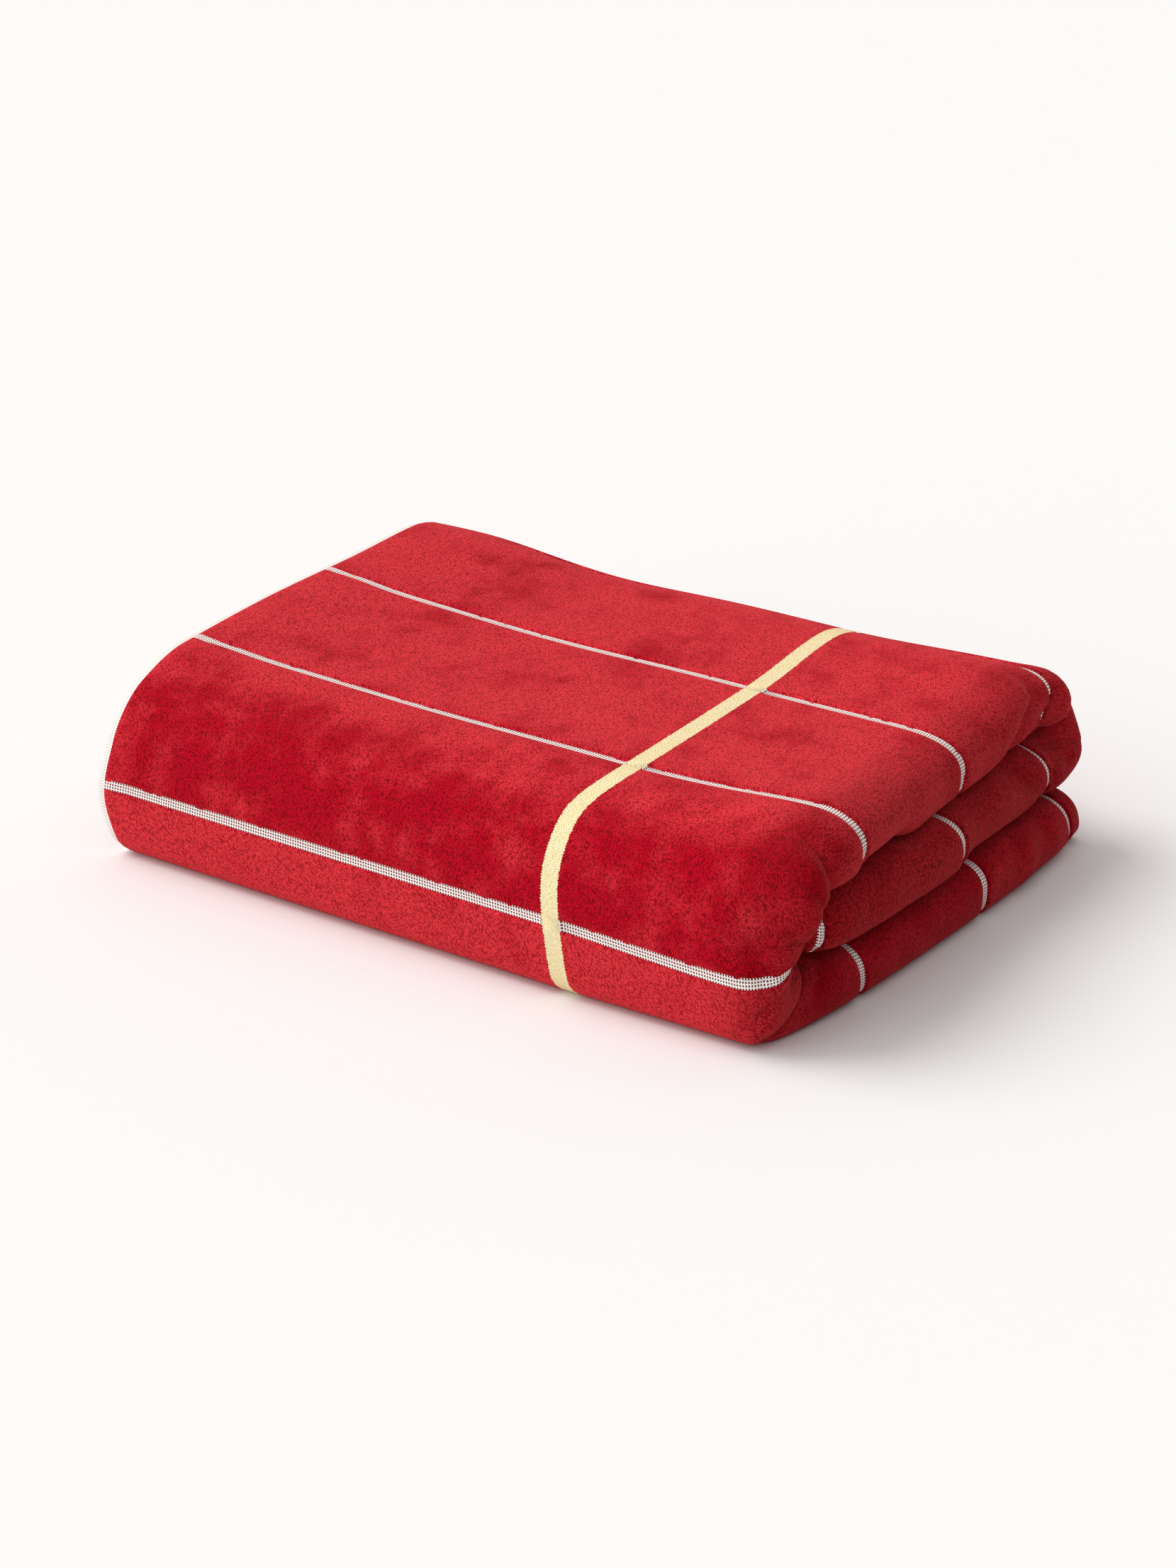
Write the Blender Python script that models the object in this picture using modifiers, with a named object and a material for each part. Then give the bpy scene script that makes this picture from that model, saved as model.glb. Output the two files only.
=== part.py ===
"""Beach towel, folded: one cut length of velour terry, 1.00 x 1.60 m.

It is folded in half twice along its length, which makes a band of four layers with a
nested roll at the right end and the hems at the left end. The band is then folded in
thirds like a letter: bottom third, round the front, top third, round the back, middle
third tucked inside. Tables in millimetres, mesh in metres, +Z up, origin at the middle
of the base.
+X runs along the towel's length towards the rolls, -Y is the front.
"""
import math

import bpy
import numpy as np

# ---- driving dimensions, in millimetres -----------------------------------------------
MM = 0.001
CLOTH = 4.5               # thickness of the cloth with its pile
HEIGHT = 90.0             # of the pack at its middle
LAYERS = 4                # layers in the band
HEM_STEP = 3.0            # the inner hem ends a little short of the outer one
ROLL_NOSE = 0.46          # how far up the band the roll reaches furthest, from the face below
ROLL_SQUARE = 0.8         # 1 is an even half round, less is squarer
ROLL_FACETS = 12          # facets round the big roll
FOLD_FACETS = 6           # facets round a tight fold
LAYER_STATIONS = (0.0, 0.20, 0.42, 0.62, 0.78, 0.90, 0.96, 1.0)   # facet lines on a layer
END_BLEND = (60, 170)     # x where the middle section turns into the end section
PRESSED = 0.3             # what comes this close to the table is pressed flat on it
MIDDLE = (-2.35, 4.33)    # x and y of the pack's middle, which goes over the origin
RED = (0.45, 0.005, 0.012, 1.0)

# ---- the section of the letter fold, across the pack, in millimetres ------------------
# One row a station, from the loose edge at the bottom of the back, round to the tucked
# edge inside. out: the face that was outside the band; in: the face that was inside,
# both for the middle of the pack and for its right end, where the rolls are thicker.
# hem: where the outer hem ends; reach: how far the roll at the right end goes; swell:
# how far back its curve starts on each face, short on the lower one, because a roll hangs
# and rests on the one below; facets: how many lead from this station to the next.
COLUMNS = ("y_out", "z_out", "y_in", "z_in", "y_out_end", "z_out_end", "y_in_end", "z_in_end",
           "hem", "reach", "swell_out", "swell_in", "facets")
SECTION = {
    "loose edge":   (139.0, 0.1, 137, 29.0,    143, 0.1, 133, 28.5,     -201.0, 191, 9, 18, 2),
    "bottom back":  (108.0, 0.0, 108, 29.0,    111, 0.0, 106, 29.5,     -201.0, 196, 9, 18, 2),
    "bottom right": (58.0, 0.0, 58, 29.0,      58, 0.0, 58, 29.5,       -201.0, 197, 6, 18, 2),
    "bottom":       (-12.0, 0.0, -12, 29.0,    -12, 0.0, -12, 29.5,     -200.0, 196, 7, 18, 2),
    "bottom knot":  (-82.0, 0.0, -82, 29.0,    -82, 0.0, -82, 29.0,     -198.0, 193, 8, 18, 2),
    "bottom front": (-136.5, 0.4, -102, 28.5,  -133, 0.4, -100, 27.5,   -192.0, 189, 10, 18, 3),
    "front low":    (-145.0, 8.5, -115, 31.0,  -142, 6.5, -112, 28.0,   -197.0, 188, 13, 18, 3),
    "front":        (-145.8, 30.0, -120, 42.0, -144, 26.5, -117.5, 39,  -203.0, 190, 18, 18, 4),
    "front high":   (-139.0, 58.0, -116, 53.0, -137, 56.0, -114, 53.5,  -201.3, 191, 24, 14, 4),
    "front top":    (-116.0, 81.5, -106, 59.5, -113, 84.0, -103, 60.5,  -201.3, 195, 26, 10, 4),
    "top front":    (-82.0, 89.5, -82, 61.0,   -80, 92.0, -80, 61.0,    -202.0, 195, 26, 10, 3),
    "top":          (33.0, 90.0, 33, 61.0,     33, 91.5, 33, 60.0,      -202.0, 184, 34, 7, 3),
    "top back":     (108.0, 90.5, 118, 61.0,   108, 92.5, 113, 61.0,    -202.0, 183, 28, 7, 5),
    "back high":    (136.0, 82.5, 122, 60.8,   141, 86.0, 120, 61.0,    -202.0, 182, 22, 12, 5),
    "back":         (144.0, 60.0, 123, 60.0,   155, 63.0, 122, 60.8,    -202.0, 182, 18, 16, 4),
    "back low":     (136.0, 39.0, 122, 59.2,   151, 41.5, 120, 60.0,    -202.0, 186, 13, 18, 4),
    "middle back":  (113.0, 31.0, 118, 59.0,   118, 31.5, 112, 59.0,    -202.0, 192, 9, 20, 2),
    "middle right": (38.0, 31.0, 38, 59.0,     38, 32.5, 38, 59.0,      -202.0, 191.5, 10, 20, 2),
    "middle":       (8.0, 31.0, 8, 59.0,       8, 31.5, 8, 59.0,        -202.0, 197, 9, 20, 2),
    "middle front": (-80.0, 31.0, -80, 59.0,   -80, 31.0, -80, 59.0,    -202.0, 194, 9, 19, 1),
    "tucked edge":  (-106.0, 31.0, -106, 59.0, -104, 31.0, -104, 59.0,  -202.0, 184, 9, 18, 0),
}

# ---- how the pack lies unevenly, in millimetres ---------------------------------------
# Rises and dips of the top: middle (x, y), size both ways, and how much higher it is.
RELIEF = {
    #                x     y    size_x  size_y  rise
    "puffed hem":  (-186, -10,   25,     80,     4.0),
    "back left":   (-160, 110,   40,     40,     3.0),
    "back dip":    (-80,  115,   55,     50,    -4.0),
    "middle dip":  (-50,    0,   70,     90,    -2.5),
    "back right":  (140,  110,   60,     40,     2.0),
    "front right": (165,  -80,   40,     45,     3.0),
}

# Bulges and creases: the cloth along a line from one point to the other is pushed by
# (push_x, push_y, push_z), over a width, and fades that deep into the pack.
PUSHES = {
    #                      from (x, y, z)    to (x, y, z)      push        width  depth
    "top roll, crease 1": ((180, 112, 93),  (182, 84, 64),   (-5, 0, 0),     7, 30),
    "top roll, crease 2": ((178, 137, 93),  (181, 98, 62),   (-5, 0, 0),     6, 30),
    "top roll, tuck":     ((189, -100, 84), (189, -97, 62),  (-6, 0, 0),     7, 30),
    "top roll, lifted":   ((192, -64, 62),  (187, -28, 62),  (-3, 0, 4),     9, 30),
    "back lobe":          ((178, 146, 84),  (182, 142, 70),  (2, 1, 3),     13, 30),
    "middle roll, bulge": ((185, 140, 45),  (180, 150, 45),  (3, 3, 0),     16, 40),
    "middle roll, side":  ((190, 116, 52),  (190, 114, 38),  (-4, 0, 0),     7, 30),
    "bottom roll, ridge": ((196, 78, 14),   (196, 78, 26),   (2.5, 0, 0),    8, 30),
    "bottom roll, dip":   ((195, 100, 24),  (195, 106, 30),  (-3, 0, 0),     7, 30),
    "corner crease":      ((184, -106, 24), (183, -136, 8),  (-5, 4, 0),     7, 30),
    "corner dimple":      ((180, -144, 46), (184, -140, 40), (-3, 5, 0),     9, 30),
    "front lobe":         ((192, -118, 62), (190, -116, 50), (5, 4, 0),     10, 30),
    "front crease":       ((184, -107, 40), (191, -129, 54), (-5, 4, 0),     6, 30),
}


def through(knots, values, at):
    """A smooth curve through the values at the knots that never overshoots them."""
    knots, values, at = (np.asarray(a, float) for a in (knots, values, at))
    step = np.diff(knots)
    slope = np.diff(values) / step
    tangent = np.zeros_like(values)
    same_way = slope[1:] * slope[:-1] > 0
    before, after = 2 * step[1:] + step[:-1], step[1:] + 2 * step[:-1]
    with np.errstate(divide="ignore", invalid="ignore"):
        mean = (before + after) / (before / slope[:-1] + after / slope[1:])
    tangent[1:-1] = np.where(same_way, mean, 0.0)
    tangent[0], tangent[-1] = slope[0], slope[-1]
    i = np.clip(np.searchsorted(knots, at, side="right") - 1, 0, len(step) - 1)
    t = (at - knots[i]) / step[i]
    return (values[i] * (1 + 2 * t) * (1 - t) ** 2 + tangent[i] * step[i] * t * (1 - t) ** 2
            + values[i + 1] * t * t * (3 - 2 * t) + tangent[i + 1] * step[i] * t * t * (t - 1))


def section_lines():
    """The section's columns, read at every facet line across the towel's width."""
    rows = np.array(list(SECTION.values()))
    y, z = rows[:, 0], rows[:, 1]
    knots = np.concatenate([[0.0], np.cumsum(np.hypot(np.diff(y), np.diff(z)))])
    at = [knots[-1]]
    for row, start, end in zip(rows, knots[:-1], knots[1:]):
        at.extend(start + (end - start) * np.arange(int(row[-1])) / row[-1])
    at = np.sort(at)
    return {name: through(knots, rows[:, n], at) for n, name in enumerate(COLUMNS[:-1])}


def layer_lines(hem, reach, swell_out, swell_in, thickness, hangs):
    """The facet lines along the towel's length in a band: x, and the part of the way
    from the inner face to the outer face. Outer layer, big roll, inner layer, fold at
    the left end, second layer, small roll, third layer. hangs: 1 where the outer face is
    above, -1 where it is below."""
    edge = 0.5 * CLOTH / thickness
    level = edge + (1.0 - 2.0 * edge) * np.arange(LAYERS) / (LAYERS - 1)
    x, w = [], []

    def straight(x0, x1, height):
        stations = np.array(LAYER_STATIONS)
        if x1 < x0:
            stations = 1.0 - stations[::-1]
        x.extend(x0 + (x1 - x0) * stations)
        w.extend([height] * len(stations))

    def turn(middle, size, low, high, facets):
        for angle in np.linspace(0.0, math.pi, facets + 1)[1:-1]:
            x.append(middle + size * math.sin(angle))
            w.append(0.5 * (low + high) + 0.5 * (low - high) * math.cos(angle))

    def roll(nose):
        for angle in np.linspace(0.0, math.pi, ROLL_FACETS + 1)[1:-1]:
            swell, face = (swell_out, level[3]) if angle < math.pi / 2 else (swell_in, level[0])
            x.append(furthest - swell * (1.0 - math.sin(angle) ** ROLL_SQUARE))
            w.append(nose + (face - nose) * abs(math.cos(angle)) ** ROLL_SQUARE)

    half = 0.5 * CLOTH
    tight = 0.5 * (level[1] - level[0]) * thickness
    left = hem + HEM_STEP + tight + half
    furthest = reach - half
    straight(hem, furthest - swell_out, level[3])
    roll(0.5 + (ROLL_NOSE - 0.5) * hangs)
    straight(furthest - swell_in, left, level[0])
    turn(left, -tight, level[0], level[1], FOLD_FACETS)
    straight(left, furthest - swell_in, level[1])
    turn(furthest - swell_in, 0.5 * swell_in, level[1], level[2], FOLD_FACETS)
    straight(furthest - swell_in, hem + HEM_STEP, level[2])
    return np.array(x), np.array(w)


def lie_unevenly(points):
    """Move the even fold's points by the two tables above."""
    x, y = points[..., 0], points[..., 1]
    floor_layer = 0.5 * CLOTH
    rise = np.zeros(x.shape)
    for middle_x, middle_y, size_x, size_y, height in RELIEF.values():
        rise += height * np.exp(-((x - middle_x) / size_x) ** 2 - ((y - middle_y) / size_y) ** 2)
    points[..., 2] += (points[..., 2] - floor_layer) * rise / HEIGHT
    moved = points.copy()
    for start, end, push, width, depth in PUSHES.values():
        start, end, push = np.array(start), np.array(end), np.array(push)
        line = end - start
        way = push / np.linalg.norm(push)
        t = np.clip((points - start) @ line / max(line @ line, 1e-12), 0.0, 1.0)
        away = points - start - t[..., None] * line
        deep = away @ way
        aside = np.linalg.norm(away - deep[..., None] * way, axis=-1)
        moved += np.exp(-(aside / width) ** 2 - (deep / depth) ** 2)[..., None] * push
    moved[..., 2] = np.maximum(moved[..., 2], floor_layer)
    return moved


def folded():
    """Every crossing of the two sets of facet lines, as an array [across, along, xyz] in metres."""
    line = section_lines()
    points = []
    for values in zip(*line.values()):
        y_out, z_out, y_in, z_in, y_out_end, z_out_end, y_in_end, z_in_end = values[:8]
        hem, reach, swell_out, swell_in = values[8:]
        thickness = math.hypot(y_out - y_in, z_out - z_in)
        x, w = layer_lines(hem, reach, swell_out, swell_in, thickness, (z_out - z_in) / thickness)
        t = np.clip((x - END_BLEND[0]) / (END_BLEND[1] - END_BLEND[0]), 0.0, 1.0)
        t = t * t * (3.0 - 2.0 * t)
        y = (1 - t) * (y_in + w * (y_out - y_in)) + t * (y_in_end + w * (y_out_end - y_in_end))
        z = (1 - t) * (z_in + w * (z_out - z_in)) + t * (z_in_end + w * (z_out_end - z_in_end))
        points.append(np.stack([x, y, z], 1))
    points = lie_unevenly(np.array(points))
    points[..., 0] -= MIDDLE[0]
    points[..., 1] -= MIDDLE[1]
    return points * MM


def towel():
    points = folded()
    across, along = points.shape[:2]
    bpy.ops.mesh.primitive_grid_add(x_subdivisions=along - 1, y_subdivisions=across - 1)
    cloth = bpy.context.object
    cloth.name = cloth.data.name = "towel"
    cloth.data.vertices.foreach_set("co", points.ravel())
    cloth.data.update()
    return cloth


def press_flat(mesh):
    """Lay the underside flat on the table."""
    points = np.empty(3 * len(mesh.vertices))
    mesh.vertices.foreach_get("co", points)
    points = points.reshape(-1, 3)
    points[points[:, 2] < PRESSED * MM, 2] = 0.0
    mesh.vertices.foreach_set("co", points.ravel())
    mesh.update()


def velour():
    material = bpy.data.materials.new("velour")
    material.use_nodes = True
    shader = material.node_tree.nodes["Principled BSDF"]
    shader.inputs["Base Color"].default_value = RED
    shader.inputs["Roughness"].default_value = 0.9
    shader.inputs["Metallic"].default_value = 0.0
    return material


for leftover in list(bpy.data.objects):
    bpy.data.objects.remove(leftover)
pack = bpy.data.collections.new("beach towel")
bpy.context.scene.collection.children.link(pack)

cloth = towel()
for holder in list(cloth.users_collection):
    holder.objects.unlink(cloth)
pack.objects.link(cloth)
cloth.data.materials.append(velour())
body = cloth.modifiers.new("cloth", "SOLIDIFY")
body.thickness = CLOTH * MM
body.offset = 0.0
body.use_even_offset = True
bpy.context.view_layer.objects.active = cloth
bpy.ops.object.modifier_apply(modifier=body.name)
press_flat(cloth.data)
cloth.data.shade_smooth()
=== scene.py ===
"""A folded beach towel of crimson velour terry, with woven white and pale yellow stripes."""
import math

import bpy
import numpy as np
from mathutils import Matrix, Vector


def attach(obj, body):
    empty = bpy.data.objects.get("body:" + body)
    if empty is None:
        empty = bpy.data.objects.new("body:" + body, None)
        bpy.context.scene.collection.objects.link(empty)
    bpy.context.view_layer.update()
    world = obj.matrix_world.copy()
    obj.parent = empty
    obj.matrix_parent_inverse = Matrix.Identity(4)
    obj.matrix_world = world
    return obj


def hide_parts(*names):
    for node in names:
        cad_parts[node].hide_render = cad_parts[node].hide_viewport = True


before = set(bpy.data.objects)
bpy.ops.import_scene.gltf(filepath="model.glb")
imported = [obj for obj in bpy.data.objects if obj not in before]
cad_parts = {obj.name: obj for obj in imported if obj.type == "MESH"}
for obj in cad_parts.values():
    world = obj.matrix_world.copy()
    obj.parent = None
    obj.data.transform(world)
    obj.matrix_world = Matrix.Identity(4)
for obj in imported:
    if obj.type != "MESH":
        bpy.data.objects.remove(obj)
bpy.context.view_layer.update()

# ---- camera ---------------------------------------------------------------------------
# A long lens looks down on the pack from its front right corner, as in the photograph:
# the front fold runs across the view and the rolled end goes off to the right.
AZIMUTH, ELEVATION = math.radians(34.74), math.radians(24.75)
LENS_MM, FILM_HEIGHT_MM = 97.65, 36.0
DISTANCE, ASIDE, RAISED = 2.1053, -0.00098, 0.03502
AIM = Vector((0.00235, -0.01633, 0.0))

back = Vector((math.sin(AZIMUTH) * math.cos(ELEVATION), -math.cos(AZIMUTH) * math.cos(ELEVATION),
               math.sin(ELEVATION)))
right = Vector((math.cos(AZIMUTH), math.sin(AZIMUTH), 0.0))
up = back.cross(right)
lens = bpy.data.cameras.new("long lens")
lens.sensor_fit = "VERTICAL"
lens.sensor_height = FILM_HEIGHT_MM
lens.lens = LENS_MM
camera = bpy.data.objects.new("camera", lens)
bpy.context.scene.collection.objects.link(camera)
turned = Matrix((right, up, back)).transposed().to_4x4()
camera.matrix_world = Matrix.Translation(AIM + back * DISTANCE + right * ASIDE + up * RAISED) @ turned
bpy.context.scene.camera = camera

# ---- towel: the fold --------------------------------------------------------------------
# One cut length of velour terry, 1.00 x 1.60 m, halved twice along its length into a band
# of four layers and then folded in thirds like a letter. The band's nested folds make the
# soft rolls at the right end, and both hems lie at the left end. All in millimetres.
MM = 0.001
WIDTH, LENGTH = 1000.0, 1600.0     # of the flat towel
PILE_TO_PILE = 4.5                 # thickness of the cloth
LAYERS = 4                         # in the band
HEIGHT = 90.0                      # of the pack at its middle
HEM_STEP = 3.0                     # the inner hem ends a little short of the outer one
ROLL_NOSE = 0.46                   # how far up the band a roll reaches furthest
ROLL_SQUARE = 0.8                  # 1 is an even half round, less is squarer
MIDDLE = (-2.35, 4.33)             # x and y of the pack's middle, which goes over the origin
END_BLEND = (60, 170)              # x where the middle section turns into the end section

# A row for each station round the letter fold, from the loose edge at the bottom of the
# back to the tucked edge inside, in millimetres. cloth: how far across the flat towel it
# is. out and in: the band's two faces, in the middle of the pack and at its right end.
# hem: where the outer hem ends. yellow: where the yellow stripe is. reach: how far the
# roll goes. swell: how far back its curve starts on the outer and on the inner face; the
# lower of the two is short, because each roll hangs and rests on the one below.
COLUMNS = ("cloth", "y_out", "z_out", "y_in", "z_in", "y_out_end", "z_out_end", "y_in_end", "z_in_end",
           "hem", "yellow", "reach", "swell_out", "swell_in")
SECTION = {
    "loose edge":   (0,    139.0, 0.1, 137, 29.0,    143, 0.1, 133, 28.5,     -201.0, 68, 191, 9, 18),
    "bottom back":  (36,   108.0, 0.0, 108, 29.0,    111, 0.0, 106, 29.5,     -201.0, 68, 196, 9, 18),
    "bottom right": (100,  58.0, 0.0, 58, 29.0,      58, 0.0, 58, 29.5,       -201.0, 68, 197, 6, 18),
    "bottom":       (171,  -12.0, 0.0, -12, 29.0,    -12, 0.0, -12, 29.5,     -200.0, 70, 196, 7, 18),
    "bottom knot":  (244,  -82.0, 0.0, -82, 29.0,    -82, 0.0, -82, 29.0,     -198.0, 72, 193, 8, 18),
    "bottom front": (295,  -136.5, 0.4, -102, 28.5,  -133, 0.4, -100, 27.5,   -192.0, 78, 189, 10, 18),
    "front low":    (309,  -145.0, 8.5, -115, 31.0,  -142, 6.5, -112, 28.0,   -197.0, 75, 188, 13, 18),
    "front":        (330,  -145.8, 30.0, -120, 42.0, -144, 26.5, -117.5, 39,  -203.0, 71.5, 190, 18, 18),
    "front high":   (360,  -139.0, 58.0, -116, 53.0, -137, 56.0, -114, 53.5,  -201.3, 65.5, 191, 24, 14),
    "front top":    (396,  -116.0, 81.5, -106, 59.5, -113, 84.0, -103, 60.5,  -201.3, 63.2, 195, 26, 10),
    "top front":    (433,  -82.0, 89.5, -82, 61.0,   -80, 92.0, -80, 61.0,    -202.0, 68, 195, 26, 10),
    "top":          (549,  33.0, 90.0, 33, 61.0,     33, 91.5, 33, 60.0,      -202.0, 66, 184, 34, 7),
    "top back":     (634,  108.0, 90.5, 118, 61.0,   108, 92.5, 113, 61.0,    -202.0, 61, 183, 28, 7),
    "back high":    (669,  136.0, 82.5, 122, 60.8,   141, 86.0, 120, 61.0,    -202.0, 62, 182, 22, 12),
    "back":         (696,  144.0, 60.0, 123, 60.0,   155, 63.0, 122, 60.8,    -202.0, 63, 182, 18, 16),
    "back low":     (722,  136.0, 39.0, 122, 59.2,   151, 41.5, 120, 60.0,    -202.0, 64, 186, 13, 18),
    "middle back":  (756,  113.0, 31.0, 118, 59.0,   118, 31.5, 112, 59.0,    -202.0, 65, 192, 9, 20),
    "middle right": (849,  38.0, 31.0, 38, 59.0,     38, 32.5, 38, 59.0,      -202.0, 65, 191.5, 10, 20),
    "middle":       (880,  8.0, 31.0, 8, 59.0,       8, 31.5, 8, 59.0,        -202.0, 66, 197, 9, 20),
    "middle front": (961,  -80.0, 31.0, -80, 59.0,   -80, 31.0, -80, 59.0,    -202.0, 67, 194, 9, 19),
    "tucked":       (979,  -100.0, 31.5, -98, 58.5,  -98, 31.5, -97, 58.5,    -202.0, 67, 188, 9, 18),
    "tucked edge":  (1000, -113.0, 33.0, -110, 57.0, -113, 34.0, -110, 57.0,  -202.0, 67, 172, 9, 17),
}
# Rises and dips of the pack's top, full at (x, y) and gone a little past size_x, size_y.
RELIEF = {
    #                x     y    size_x  size_y  rise
    "puffed hem":  (-186, -10,   25,     80,     4.0),
    "back left":   (-160, 110,   40,     40,     3.0),
    "back dip":    (-80,  115,   55,     50,    -4.0),
    "middle dip":  (-50,    0,   70,     90,    -2.5),
    "back right":  (140,  110,   60,     40,     2.0),
    "front right": (165,  -80,   40,     45,     3.0),
}
# Pushes: the cloth near a line is moved, all of it there and less with the width and depth.
PUSHES = {
    #                      from (x, y, z)    to (x, y, z)      push        width  depth
    "middle roll, bulge": ((185, 140, 45),  (180, 150, 45),  (3, 3, 0),     16, 40),
    "bottom roll, ridge": ((196, 78, 14),   (196, 78, 26),   (2.5, 0, 0),    8, 30),
    "bottom roll, dip":   ((195, 100, 24),  (195, 106, 30),  (-3, 0, 0),     7, 30),
    "corner dimple":      ((180, -144, 46), (184, -140, 40), (-3, 5, 0),     9, 30),
    "front lobe":         ((192, -118, 62), (190, -116, 50), (5, 4, 0),     10, 30),
    "back lobe":          ((178, 146, 84),  (182, 142, 70),  (2, 1, 3),     13, 30),
    "top roll, lifted":   ((192, -64, 62),  (187, -28, 62),  (-3, 0, 4),     9, 30),
}
# Creases: points along each, the way the cloth is drawn in there, and how far away it is
# flush again: abruptly on the side that bulges over it, gently on the other.
CREASES = {
    "top roll, first":    (((178, 113, 93), (178, 110, 84), (183, 97, 79), (184, 86, 70), (182, 82, 63)),
                           (-6, 0, 0), 2.5, 11),
    "top roll, second":   (((177, 138, 93), (180, 131, 79), (183, 119, 73), (181, 104, 64), (181, 92, 61)),
                           (-5, 0, 0), 2.5, 9),
    "top roll, third":    (((184, 146, 68), (181, 138, 62), (176, 126, 60)), (-4, 0, 0), 2.5, 6),
    "top roll, tuck":     (((188, -101, 85), (190, -100.5, 79), (190.5, -99.5, 72), (189, -98, 62)),
                           (-7, 0, 0), 2.5, 12),
    "front, second tuck": (((193, -116, 76), (194, -115, 67), (193, -112, 58)), (-3, 0, 0), 2.5, 6),
    "front, dimple":      (((184, -107, 40), (189, -118, 46), (191, -129, 54)), (-6, 5, 0), 2.5, 7),
    "corner, first":      (((184, -108, 26), (188, -126, 29.5), (187, -136, 28), (180, -139, 21)),
                           (-4, 4, 0), 2.5, 8),
    "corner, second":     (((179, -100, 27), (184, -107, 21), (187, -114, 16), (187, -122, 12), (183, -136, 5)),
                           (-6, 4, 0), 2.5, 9),
    "middle roll, upper": (((190, 136, 52), (188, 125, 54), (178, 110, 57)), (-3.5, 0, 0), 2.5, 6),
    "middle roll, side":  (((189, 117, 54), (192, 115, 46), (191, 114, 36)), (-4, 0, 0), 2.5, 8),
    "middle roll, dent":  (((193, 126, 50), (191, 130, 46)), (-5, 0, 0), 5, 5),
    "middle roll, long":  (((186, 78, 57), (191, 92, 47), (190, 106, 37)), (-3, 0, 0), 6, 8),
}
CREASE_DEPTH = 30.0                # how far into the pack the layers follow

# Stripes, measured on the flat towel.
WHITE_FIRST, WHITE_PITCH, WHITE_COUNT, WHITE_WIDTH = 15.0, 107.0, 10, 5.8
YELLOW_FIRST, YELLOW_PITCH, YELLOW_WIDTH = 271.0, 266.7, 9.5
HEM_WIDTH, HEM_BANK = 3.5, 1.2     # flat-woven hem, and the slope of the pile beside it
PILE_HEIGHT = 1.3                  # how far the pile stands above the bare ground weave
BANK = ((4.0, 1.0), (3.4, 0.85), (2.9, 0.0), (0.0, 0.0))    # off a white stripe: pile left
YELLOW_BANK = (6.2, 4.9)           # off a yellow stripe: where bare stripes begin and end

ACROSS_STEP, ALONG_STEP = 3.6, 10.0    # facet sizes on the flat cloth
STEP_SLACK = 0.3                   # a last facet may be this much of a step too long
ROLL_FACETS, FOLD_FACETS = 36, 8   # round the big roll and round a tight fold
OUTER_FACETS, BACK_FACETS, INNER_FACETS, LAST_FACETS = 13, 9, 7, 8    # along each layer
EDGE_BULGE = 0.7                   # how far the cloth's cut edge rounds out, of half its thickness


def through(knots, values, at):
    """A smooth curve through the values at the knots that never overshoots them."""
    knots, values, at = (np.asarray(a, float) for a in (knots, values, at))
    step = np.diff(knots)
    slope = np.diff(values) / step
    tangent = np.zeros_like(values)
    same_way = slope[1:] * slope[:-1] > 0
    before, after = 2 * step[1:] + step[:-1], step[1:] + 2 * step[:-1]
    with np.errstate(divide="ignore", invalid="ignore"):
        mean = (before + after) / (before / slope[:-1] + after / slope[1:])
    tangent[1:-1] = np.where(same_way, mean, 0.0)
    tangent[0], tangent[-1] = slope[0], slope[-1]
    i = np.clip(np.searchsorted(knots, at, side="right") - 1, 0, len(step) - 1)
    t = (at - knots[i]) / step[i]
    return (values[i] * (1 + 2 * t) * (1 - t) ** 2 + tangent[i] * step[i] * t * (1 - t) ** 2
            + values[i + 1] * t * t * (3 - 2 * t) + tangent[i + 1] * step[i] * t * t * (t - 1))


def spread(stops, step):
    """Facet lines at every stop, with even ones between them no wider than the step."""
    lines = []
    for start, end in zip(stops[:-1], stops[1:]):
        count = max(1, math.ceil((end - start) / step - STEP_SLACK))
        lines.extend(start + (end - start) * np.arange(count) / count)
    return np.array(lines + [stops[-1]])


def lines_across():
    stops = [0.0, WIDTH]
    for k in range(WHITE_COUNT):
        middle = WHITE_FIRST + k * WHITE_PITCH
        for off, _ in BANK:
            stops += [middle - off, middle + off]
    return spread(sorted(set(stops)), ACROSS_STEP)


def lines_along():
    """Facet lines on the outer layer, from the hem past the first yellow stripe."""
    stops = [0.0, 0.6 * HEM_WIDTH, HEM_WIDTH, HEM_WIDTH + HEM_BANK, HEM_WIDTH + 4.0]
    for off in (-YELLOW_BANK[0], -YELLOW_BANK[1], YELLOW_BANK[1], YELLOW_BANK[0]):
        stops.append(YELLOW_FIRST + off)
    stops.append(YELLOW_FIRST + 3 * YELLOW_BANK[0])
    return spread(stops, ALONG_STEP)


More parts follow.
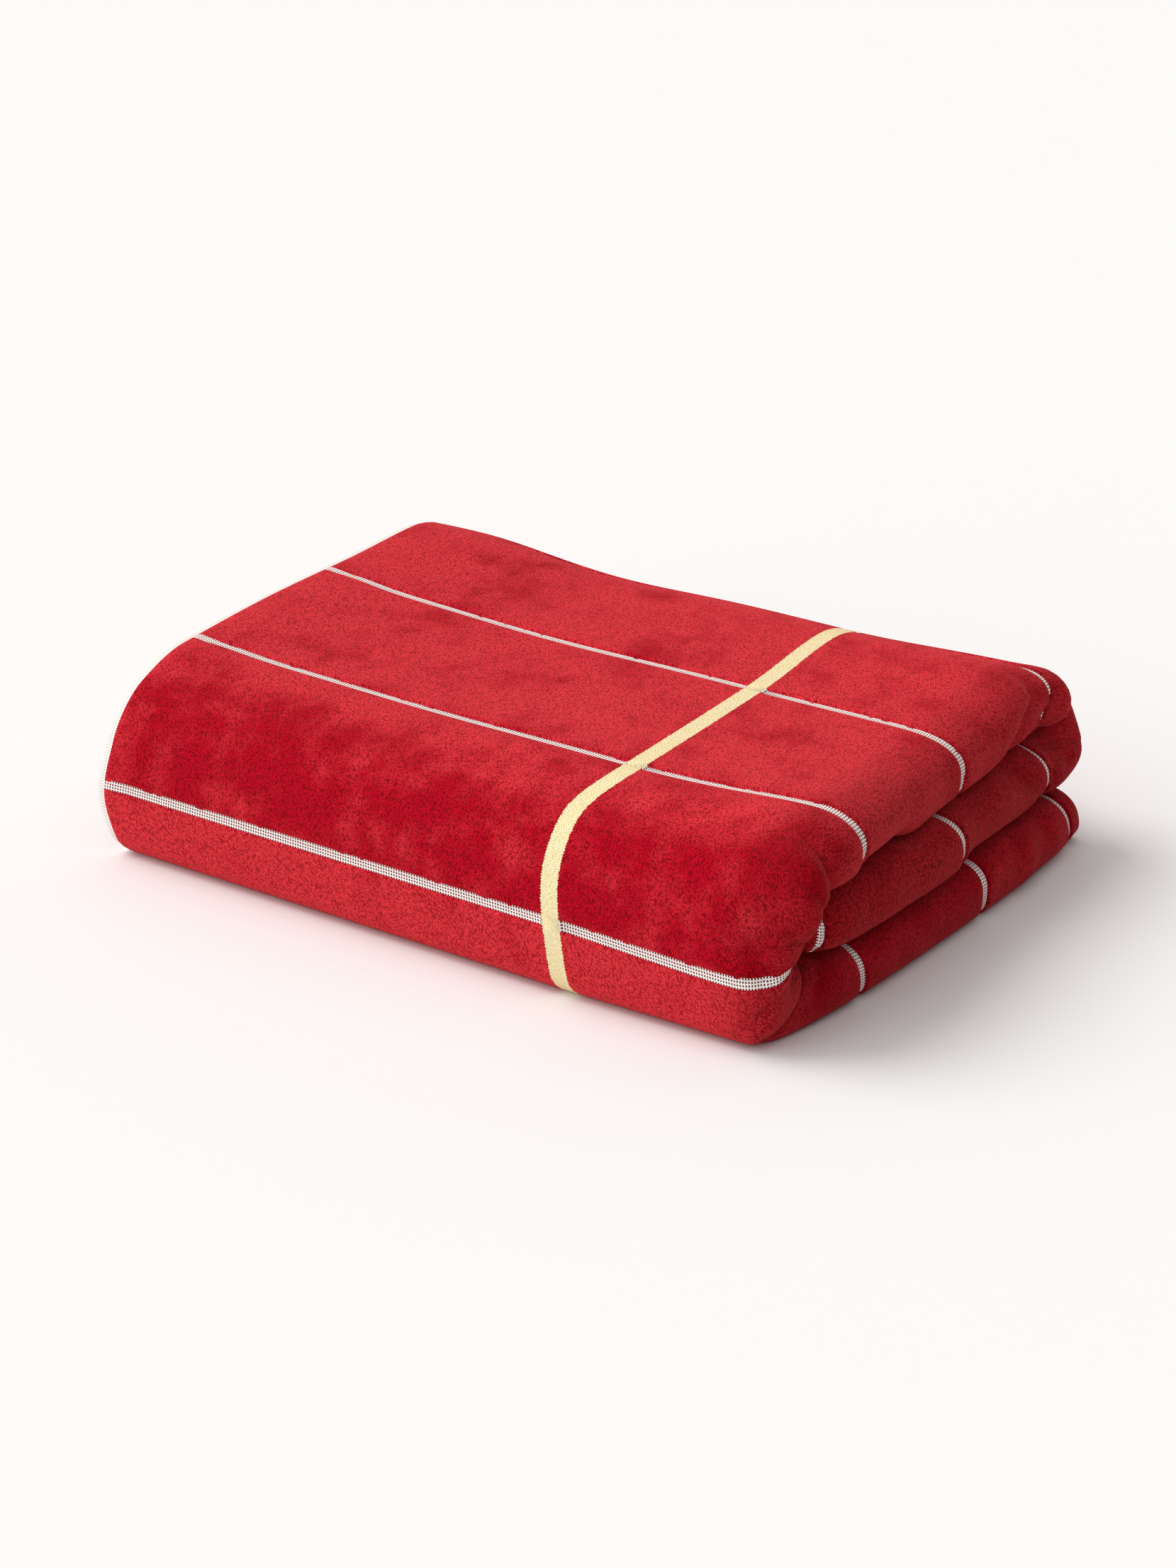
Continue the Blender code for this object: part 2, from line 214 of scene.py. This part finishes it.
def band(row, lines):
    """One line of points round the band's four layers at one place across the cloth: x,
    the part of the way from the inner to the outer face, and how far along the cloth."""
    thickness = math.hypot(row["y_out"] - row["y_in"], row["z_out"] - row["z_in"])
    edge = 0.5 * PILE_TO_PILE / thickness
    level = edge + (1.0 - 2.0 * edge) * np.arange(LAYERS) / (LAYERS - 1)
    hem = row["hem"]
    x = list(hem + (row["yellow"] - hem) * lines / YELLOW_FIRST)
    w = [level[3]] * len(x)
    along = list(lines)

    def straight(to, height, count):
        x.extend(x[-1] + (to - x[-1]) * np.arange(1, count + 1) / count)
        w.extend([height] * count)

    def turn(size, low, high, facets):
        middle = x[-1]
        for angle in np.linspace(0.0, math.pi, facets + 1)[1:]:
            x.append(middle + size * math.sin(angle))
            w.append(0.5 * (low + high) + 0.5 * (low - high) * math.cos(angle))

    def roll(reach, swell_out, swell_in, nose):
        for angle in np.linspace(0.0, math.pi, ROLL_FACETS + 1)[1:]:
            swell, face = (swell_out, level[3]) if angle < math.pi / 2 else (swell_in, level[0])
            x.append(reach - swell * (1.0 - math.sin(angle) ** ROLL_SQUARE))
            w.append(nose + (face - nose) * abs(math.cos(angle)) ** ROLL_SQUARE)

    half = 0.5 * PILE_TO_PILE
    tight = 0.5 * (level[1] - level[0]) * thickness
    left = hem + HEM_STEP + tight + half
    reach = row["reach"] - half
    hangs = np.clip((row["z_out"] - row["z_in"]) / thickness, -1.0, 1.0)
    straight(reach - row["swell_out"], level[3], OUTER_FACETS)
    roll(reach, row["swell_out"], row["swell_in"], 0.5 + (ROLL_NOSE - 0.5) * hangs)
    straight(left, level[0], BACK_FACETS)
    turn(-tight, level[0], level[1], FOLD_FACETS)
    straight(reach - row["swell_in"], level[1], INNER_FACETS)
    turn(0.5 * row["swell_in"], level[1], level[2], FOLD_FACETS)
    straight(hem + HEM_STEP + 2 * HEM_WIDTH, level[2], LAST_FACETS)
    straight(hem + HEM_STEP + HEM_WIDTH, level[2], 1)
    straight(hem + HEM_STEP, level[2], 2)
    x, w = np.array(x), np.array(w)
    steps = np.hypot(np.diff(x), np.diff(w) * thickness)[len(lines) - 1:]
    rest = LENGTH - lines[-1]
    return x, w, np.concatenate([along, lines[-1] + np.cumsum(steps) * rest / steps.sum()])


def lie_unevenly(points):
    """Move the even fold's points by the tables of rises and pushes."""
    x, y = points[..., 0], points[..., 1]
    floor_layer = 0.5 * PILE_TO_PILE
    rise = np.zeros(x.shape)
    for middle_x, middle_y, size_x, size_y, height in RELIEF.values():
        rise += height * np.exp(-((x - middle_x) / size_x) ** 2 - ((y - middle_y) / size_y) ** 2)
    points[..., 2] += (points[..., 2] - floor_layer) * rise / HEIGHT
    moved = points.copy()

    def beside(start, end, way):
        """How far each point is from a line: along the way it is pushed, and to which side."""
        line = end - start
        t = np.clip((points - start) @ line / (line @ line), 0.0, 1.0)
        away = points - start - t[..., None] * line
        deep = away @ way
        aside = away - deep[..., None] * way
        return deep, np.linalg.norm(aside, axis=-1), aside @ np.cross(line, way)

    for start, end, push, width, depth in PUSHES.values():
        way = np.array(push) / np.linalg.norm(push)
        deep, aside, _ = beside(np.array(start), np.array(end), way)
        moved += np.exp(-(aside / width) ** 2 - (deep / depth) ** 2)[..., None] * push
    for line, push, abrupt, gentle in CREASES.values():
        way = np.array(push) / np.linalg.norm(push)
        drawn = np.zeros(x.shape)
        for start, end in zip(line[:-1], line[1:]):
            deep, aside, side = beside(np.array(start), np.array(end), way)
            reach = np.where(side > 0.0, gentle, abrupt)
            drawn = np.maximum(drawn, np.exp(-aside / reach - (deep / CREASE_DEPTH) ** 2))
        moved += drawn[..., None] * push
    moved[..., 2] = np.maximum(moved[..., 2], floor_layer)
    return moved


def grid_normals(points):
    """The way out of the cloth's outer face at each point of the grid."""
    across = np.gradient(points, axis=0)
    along = np.gradient(points, axis=1)
    normal = np.cross(along, across)
    return normal / np.maximum(np.linalg.norm(normal, axis=-1, keepdims=True), 1e-9)


def folded():
    """The cloth's middle surface [across, along, xyz], and its place on the flat cloth."""
    table = np.array(list(SECTION.values()), float)
    across = lines_across()
    row_at = {name: through(table[:, 0], table[:, n], across) for n, name in enumerate(COLUMNS)}
    lines = lines_along()
    points, cloth = [], []
    for i, v in enumerate(across):
        row = {name: values[i] for name, values in row_at.items()}
        x, w, u = band(row, lines)
        t = np.clip((x - END_BLEND[0]) / (END_BLEND[1] - END_BLEND[0]), 0.0, 1.0)
        t = t * t * (3.0 - 2.0 * t)
        y = ((1 - t) * (row["y_in"] + w * (row["y_out"] - row["y_in"]))
             + t * (row["y_in_end"] + w * (row["y_out_end"] - row["y_in_end"])))
        z = ((1 - t) * (row["z_in"] + w * (row["z_out"] - row["z_in"]))
             + t * (row["z_in_end"] + w * (row["z_out_end"] - row["z_in_end"])))
        points.append(np.stack([x, y, z], 1))
        cloth.append(np.stack([u, np.full(len(u), v)], 1))
    points = lie_unevenly(np.array(points))
    points[..., 0] -= MIDDLE[0]
    points[..., 1] -= MIDDLE[1]
    return points, np.array(cloth)


def pile_left(cloth):
    """1 on full pile, 0 on the bare ground weave of the white stripes and the hems."""
    u, v = cloth[..., 0], cloth[..., 1]
    off_white = np.abs((v - WHITE_FIRST + WHITE_PITCH / 2) % WHITE_PITCH - WHITE_PITCH / 2)
    bank = np.array(BANK)[::-1]
    left = np.interp(off_white, bank[:, 0], bank[:, 1])
    off_yellow = np.abs((u - YELLOW_FIRST + YELLOW_PITCH / 2) % YELLOW_PITCH - YELLOW_PITCH / 2)
    left = np.maximum(left, np.interp(off_yellow, YELLOW_BANK[::-1], (1.0, 0.0)))
    off_hem = np.minimum(u, LENGTH - u)
    return np.minimum(left, np.interp(off_hem, (HEM_WIDTH, HEM_WIDTH + HEM_BANK), (0.0, 1.0)))


def closed_cloth(name, points, cloth):
    """A closed mesh: the outer and the inner face, and rounded edges between them."""
    normal = grid_normals(points)
    half = (0.5 * PILE_TO_PILE - PILE_HEIGHT * (1.0 - pile_left(cloth)))[..., None]
    outer, inner = points + half * normal, points - half * normal
    rows, columns = points.shape[:2]
    rim = np.concatenate([[(0, j) for j in range(columns)], [(i, columns - 1) for i in range(1, rows)],
                          [(rows - 1, j) for j in range(columns - 2, -1, -1)],
                          [(i, 0) for i in range(rows - 2, 0, -1)]])
    inward = points[np.clip(rim[:, 0], 1, rows - 2), np.clip(rim[:, 1], 1, columns - 2)]
    edge = points[rim[:, 0], rim[:, 1]]
    out = edge - inward
    out /= np.linalg.norm(out, axis=1, keepdims=True)
    bulge = edge + EDGE_BULGE * half[rim[:, 0], rim[:, 1]] * out
    vertices = np.concatenate([outer.reshape(-1, 3), inner.reshape(-1, 3), bulge]) * MM
    number = np.arange(rows * columns).reshape(rows, columns)
    a, b, c, d = number[:-1, :-1], number[:-1, 1:], number[1:, 1:], number[1:, :-1]
    top = np.stack([a, b, c, d], -1).reshape(-1, 4)
    bottom = np.stack([a, d, c, b], -1).reshape(-1, 4) + rows * columns
    first = number[rim[:, 0], rim[:, 1]]
    second = np.roll(first, -1)
    ridge = 2 * rows * columns + np.arange(len(rim))
    next_ridge = np.roll(ridge, -1)
    below = rows * columns
    sides = np.concatenate([np.stack([second, first, ridge, next_ridge], -1),
                            np.stack([next_ridge, ridge, first + below, second + below], -1)])
    faces = np.concatenate([top, bottom, sides])
    mesh = bpy.data.meshes.new(name)
    mesh.from_pydata(vertices, [], faces)
    flat = cloth.reshape(-1, 2)
    flat = np.concatenate([flat, flat, cloth[rim[:, 0], rim[:, 1]]]) * MM
    on_cloth = mesh.uv_layers.new(name="cloth")
    on_cloth.uv.foreach_set("vector", flat[faces.ravel()].astype(np.float32).ravel())
    mesh.update()
    mesh.validate()
    mesh.shade_smooth()
    towel = bpy.data.objects.new(name, mesh)
    bpy.context.scene.collection.objects.link(towel)
    return towel


middle_surface, cloth_place = folded()
towel = closed_cloth("beach_towel", middle_surface, cloth_place)

# ---- towel: the velour terry --------------------------------------------------------------
# Cotton velour: the loops of one face are sheared to an upright pile, so the colour turns
# lighter or deeper with the way the nap was last brushed. In the white stripes the pile is
# left out and the ground weave of white threads shows, with red pile roots in its holes.
THREAD_MM = 1.5                    # from thread to thread of the ground weave
TUFT_LONG, TUFT_WIDE = 1.25, 0.85  # one tuft of the sheared pile
TUFT_LEAN = math.radians(52)
LEANING_OVER = 0.55                # how much of a white stripe's edge the pile covers


def linear(colour):
    """The linear colour of an sRGB hex value."""
    parts = [int(colour[i:i + 2], 16) / 255 for i in (1, 3, 5)]
    return [c / 12.92 if c <= 0.04045 else ((c + 0.055) / 1.055) ** 2.4 for c in parts] + [1.0]


def add(tree, kind, inputs=None, output=0, **settings):
    """Adds a node with its settings and links, and returns one of its outputs."""
    node = tree.nodes.new("ShaderNode" + kind)
    for name, value in settings.items():
        setattr(node, name, value)
    for socket, value in (inputs or {}).items():
        if isinstance(value, bpy.types.NodeSocket):
            tree.links.new(value, node.inputs[socket])
        else:
            node.inputs[socket].default_value = value
    return node.outputs[output]


def maths(tree, operation, *values):
    return add(tree, "Math", dict(enumerate(values)), operation=operation)


def between(tree, value, low, high, to_low=0.0, to_high=1.0):
    """A smooth step of a value from one level to another."""
    return add(tree, "MapRange", {0: value, 1: low, 2: high, 3: to_low, 4: to_high},
               interpolation_type="SMOOTHSTEP")


def blend(tree, amount, first, second, kind="MIX"):
    """Two colours mixed by an amount."""
    first, second = (linear(c) if isinstance(c, str) else c for c in (first, second))
    return add(tree, "Mix", {0: amount, 6: first, 7: second}, output=2, data_type="RGBA",
               blend_type=kind)


def cotton_velour():
    material = bpy.data.materials.new("cotton velour terry")
    material.use_nodes = True
    tree = material.node_tree
    tree.nodes.clear()
    place = add(tree, "UVMap", uv_map="cloth")
    place = add(tree, "VectorMath", {0: place, "Scale": 1 / MM}, operation="SCALE")
    split = tree.nodes.new("ShaderNodeSeparateXYZ")
    tree.links.new(place, split.inputs[0])
    u, v = split.outputs[0], split.outputs[1]

    def repeat(value, first, pitch):
        """How far a value is from the nearest of evenly spaced lines, and to which side."""
        turns = maths(tree, "DIVIDE", maths(tree, "SUBTRACT", value, first), pitch)
        past = maths(tree, "SUBTRACT", turns, maths(tree, "ROUND", turns))
        return maths(tree, "MULTIPLY", past, pitch)

    def noise(size_along, size_across, detail=2.0, rough=0.5, output=0):
        """Cloudy noise of a size in millimetres along and across the towel."""
        where = add(tree, "Mapping", {0: place, "Scale": (1 / size_along, 1 / size_across, 1.0)})
        return add(tree, "TexNoise", {"Vector": where, "Scale": 1.0, "Detail": detail,
                                      "Roughness": rough}, output=output)

    # ground weave: threads both ways, 1.5 mm apart. The pile leans over both edges, and on
    # the far side the cross threads run out between its rows like the teeth of a comb.
    off_white = repeat(v, WHITE_FIRST, WHITE_PITCH)
    thread_u = maths(tree, "ABSOLUTE", repeat(u, 0.0, THREAD_MM))
    thread_v = maths(tree, "ABSOLUTE", repeat(v, WHITE_FIRST, THREAD_MM))
    on_cross_thread = between(tree, thread_u, 0.46, 0.30)
    on_long_thread = between(tree, thread_v, 0.42, 0.26)
    on_thread = maths(tree, "MAXIMUM", on_cross_thread, on_long_thread)
    comb = between(tree, thread_u, 0.50, 0.30, 0.0, 0.4)
    nick = between(tree, noise(7.0, 60.0, 1.0), 0.58, 0.68, 0.0, -0.8)
    far_edge = maths(tree, "ADD", maths(tree, "ADD", comb, nick), 0.5 * WHITE_WIDTH - LEANING_OVER)
    near_edge = maths(tree, "MULTIPLY_ADD", comb, 0.25, 0.5 * WHITE_WIDTH - LEANING_OVER)
    past_far = maths(tree, "SUBTRACT", off_white, far_edge)
    past_near = maths(tree, "SUBTRACT", maths(tree, "MULTIPLY", off_white, -1.0), near_edge)
    in_white = between(tree, maths(tree, "MAXIMUM", past_far, past_near), 0.12, -0.12)

    # yellow pile stripe, with the saw-tooth edge of whole pile rows
    off_hem = maths(tree, "MINIMUM", u, maths(tree, "SUBTRACT", LENGTH, u))
    off_yellow = maths(tree, "ABSOLUTE", repeat(u, YELLOW_FIRST, YELLOW_PITCH))
    none_at_hem = between(tree, off_hem, 4 * HEM_WIDTH, 3 * HEM_WIDTH, 0.0, YELLOW_PITCH)
    off_yellow = maths(tree, "ADD", off_yellow, none_at_hem)
    tooth = maths(tree, "MULTIPLY", between(tree, thread_v, 0.75, 0.0), 0.45)
    ragged = maths(tree, "MULTIPLY", maths(tree, "SUBTRACT", noise(30.0, 2.5, 1.0), 0.5), 1.2)
    yellow_edge = maths(tree, "ADD", maths(tree, "ADD", tooth, ragged), 0.5 * YELLOW_WIDTH - 0.25)
    in_yellow = between(tree, maths(tree, "SUBTRACT", off_yellow, yellow_edge), 0.15, -0.15)

    # hems, flat woven, with a rib for each thread
    hem_tooth = maths(tree, "MULTIPLY", between(tree, thread_v, 0.75, 0.0), 0.6)
    hem_edge = maths(tree, "ADD", hem_tooth, HEM_WIDTH)
    in_hem = between(tree, maths(tree, "SUBTRACT", off_hem, hem_edge), 0.15, -0.15)
    rib = between(tree, thread_v, 0.2, 0.7)

    # pile: sheared tufts that all lean one way, in rows that waver by a millimetre
    wobble = add(tree, "VectorMath", {0: noise(4.0, 4.0, 1.0, output=1), 1: (1.3, 1.3, 0.0)},
                 operation="MULTIPLY_ADD")
    tree.links.new(place, wobble.node.inputs[2])
    leaning = add(tree, "Mapping", {0: wobble, "Rotation": (0.0, 0.0, TUFT_LEAN)})
    leaning = add(tree, "Mapping", {0: leaning, "Scale": (1 / TUFT_LONG, 1 / TUFT_WIDE, 1.0)})
    tuft = add(tree, "TexVoronoi", {"Vector": leaning, "Scale": 1.0, "Randomness": 0.75})
    fine = noise(0.6, 0.6, 2.0, 0.6)
    clump = noise(3.2, 2.4, 2.0, 0.6)
    gap = maths(tree, "ADD", maths(tree, "MULTIPLY_ADD", fine, 0.35, -0.175), tuft)
    gap = maths(tree, "ADD", gap, maths(tree, "MULTIPLY_ADD", clump, 0.25, -0.125))

    # nap: large and small patches of random tone. Over them the top is painted lighter, as the light from above
    # and the grazing view make it, and the lower front is made lighter too, while the upper front between them
    # stays deeper
    nap = noise(60.0, 38.0, 3.0, 0.55)
    brushed = noise(16.0, 24.0, 2.0, 0.5)
    nap = maths(tree, "ADD", maths(tree, "MULTIPLY", nap, 0.6), maths(tree, "MULTIPLY", brushed, 0.4))
    low_front = maths(tree, "MULTIPLY", between(tree, v, 265, 285, 0.0, 1.5),
                      between(tree, v, 342, 330))
    # painted light on the top, and a lighter lower front
    painted_top_light_and_lighter_low_front = maths(tree, "MAXIMUM", low_front, between(tree, v, 384, 436))
    nap_and_painted_light = between(tree, maths(tree, "MULTIPLY_ADD", painted_top_light_and_lighter_low_front, 0.16, nap), 0.44, 0.72)
    red = blend(tree, nap_and_painted_light, "#BE0021", "#E63642")

    # painted shade: the rolls at the right end face away from the light, so their red is painted darker, and
    # most so on the middle third
    from_roll = maths(tree, "ABSOLUTE", repeat(u, 0.25 * LENGTH, 0.5 * LENGTH))
    painted_roll_shade = maths(tree, "MULTIPLY", between(tree, from_roll, 50, 12),
                      between(tree, v, 690, 740, 0.5, 0.78))
    red = blend(tree, painted_roll_shade, red, "#8C000C")

    # painted shade in the gaps between the tufts, on the red and on the yellow pile, and a painted highlight on
    # the tufts' tips, stronger where the top is painted lighter
    gap_painted_shade = blend(tree, 1.0, red, "#B08088", "MULTIPLY")
    red = blend(tree, between(tree, gap, 0.30, 0.85), red, gap_painted_shade)
    painted_tip_highlight = maths(tree, "MULTIPLY", between(tree, gap, 0.30, 0.05),
                maths(tree, "MULTIPLY_ADD", nap_and_painted_light, 0.30, 0.05))
    red = blend(tree, painted_tip_highlight, red, "#F05C6C")
    # the yellow pile, with painted shade in the gaps between its tufts
    yellow = blend(tree, between(tree, gap, 0.2, 0.8), "#FBF4CC", "#EFDFA6")
    white = blend(tree, on_thread, "#6A0009", "#FAF6F2")
    hem = blend(tree, rib, "#FCFBF8", "#EDEBE4")

    colour = blend(tree, in_white, red, white)
    colour = blend(tree, in_yellow, colour, yellow)
    colour = blend(tree, in_hem, colour, hem)

    not_yellow = maths(tree, "SUBTRACT", 1.0, in_yellow)
    bare = maths(tree, "MAXIMUM", maths(tree, "MULTIPLY", in_white, not_yellow), in_hem)
    pile_height = maths(tree, "MULTIPLY", gap, -0.6)
    weave_height = maths(tree, "MULTIPLY", on_thread, 0.5)
    height = add(tree, "Mix", {0: bare, 2: pile_height, 3: weave_height}, data_type="FLOAT")
    bump = add(tree, "Bump", {"Height": height, "Strength": 0.8, "Distance": 0.9 * MM})

    shader = tree.nodes.new("ShaderNodeBsdfPrincipled")
    tree.links.new(colour, shader.inputs["Base Color"])
    tree.links.new(bump, shader.inputs["Normal"])
    shader.inputs["Roughness"].default_value = 0.9
    shader.inputs["Specular IOR Level"].default_value = 0.04
    shader.inputs["Sheen Weight"].default_value = 0.46
    shader.inputs["Sheen Roughness"].default_value = 0.45
    shader.inputs["Sheen Tint"].default_value = linear("#FF6E6C")
    output = tree.nodes.new("ShaderNodeOutputMaterial")
    tree.links.new(shader.outputs[0], output.inputs["Surface"])
    return material


towel.data.materials.append(cotton_velour())
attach(towel, "root")
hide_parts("towel")

# ---- studio: floor and light ------------------------------------------------------------
# A sweep of matt off-white paper under one broad soft light from the upper left, with
# white walls all round, as in a product photograph.
floor_mesh = bpy.data.meshes.new("paper_floor")
FLOOR_REACH = 12.0
corners = [(-FLOOR_REACH, -FLOOR_REACH, 0), (FLOOR_REACH, -FLOOR_REACH, 0),
           (FLOOR_REACH, FLOOR_REACH, 0), (-FLOOR_REACH, FLOOR_REACH, 0)]
floor_mesh.from_pydata(corners, [], [(0, 1, 2, 3)])
floor = bpy.data.objects.new("paper_floor", floor_mesh)
bpy.context.scene.collection.objects.link(floor)
paper = bpy.data.materials.new("matt paper")
paper.use_nodes = True
surface = paper.node_tree.nodes["Principled BSDF"]
surface.inputs["Base Color"].default_value = linear("#F3F2F2")
surface.inputs["Roughness"].default_value = 0.95
surface.inputs["Specular IOR Level"].default_value = 0.1
floor_mesh.materials.append(paper)

LIGHT_FROM = Vector((-0.95, -0.12, 1.10))
walls = bpy.data.worlds.new("white walls")
walls.use_nodes = True
air = walls.node_tree
facing = add(air, "VectorMath", {0: add(air, "TexCoord"), 1: tuple(LIGHT_FROM.normalized())},
             output=1, operation="DOT_PRODUCT")
air.links.new(between(air, facing, -0.60, 0.60, 0.08, 0.71), air.nodes["Background"].inputs[1])
air.nodes["Background"].inputs[0].default_value = linear("#FFFDFB")
bpy.context.scene.world = walls

softbox = bpy.data.lights.new("broad soft light", "SUN")
softbox.energy = 1.64
softbox.angle = math.radians(38)
softbox.color = (1.0, 0.985, 0.965)
lamp = bpy.data.objects.new("broad soft light", softbox)
bpy.context.scene.collection.objects.link(lamp)
lamp.rotation_euler = LIGHT_FROM.to_track_quat("Z", "Y").to_euler()
reflector = bpy.data.lights.new("front reflector", "SUN")
reflector.energy = 0.95
reflector.angle = math.radians(70)
bounce = bpy.data.objects.new("front reflector", reflector)
bpy.context.scene.collection.objects.link(bounce)
bounce.rotation_euler = Vector((-0.85, -1.0, 0.35)).to_track_quat("Z", "Y").to_euler()

bpy.context.scene.view_settings.view_transform = "Standard"
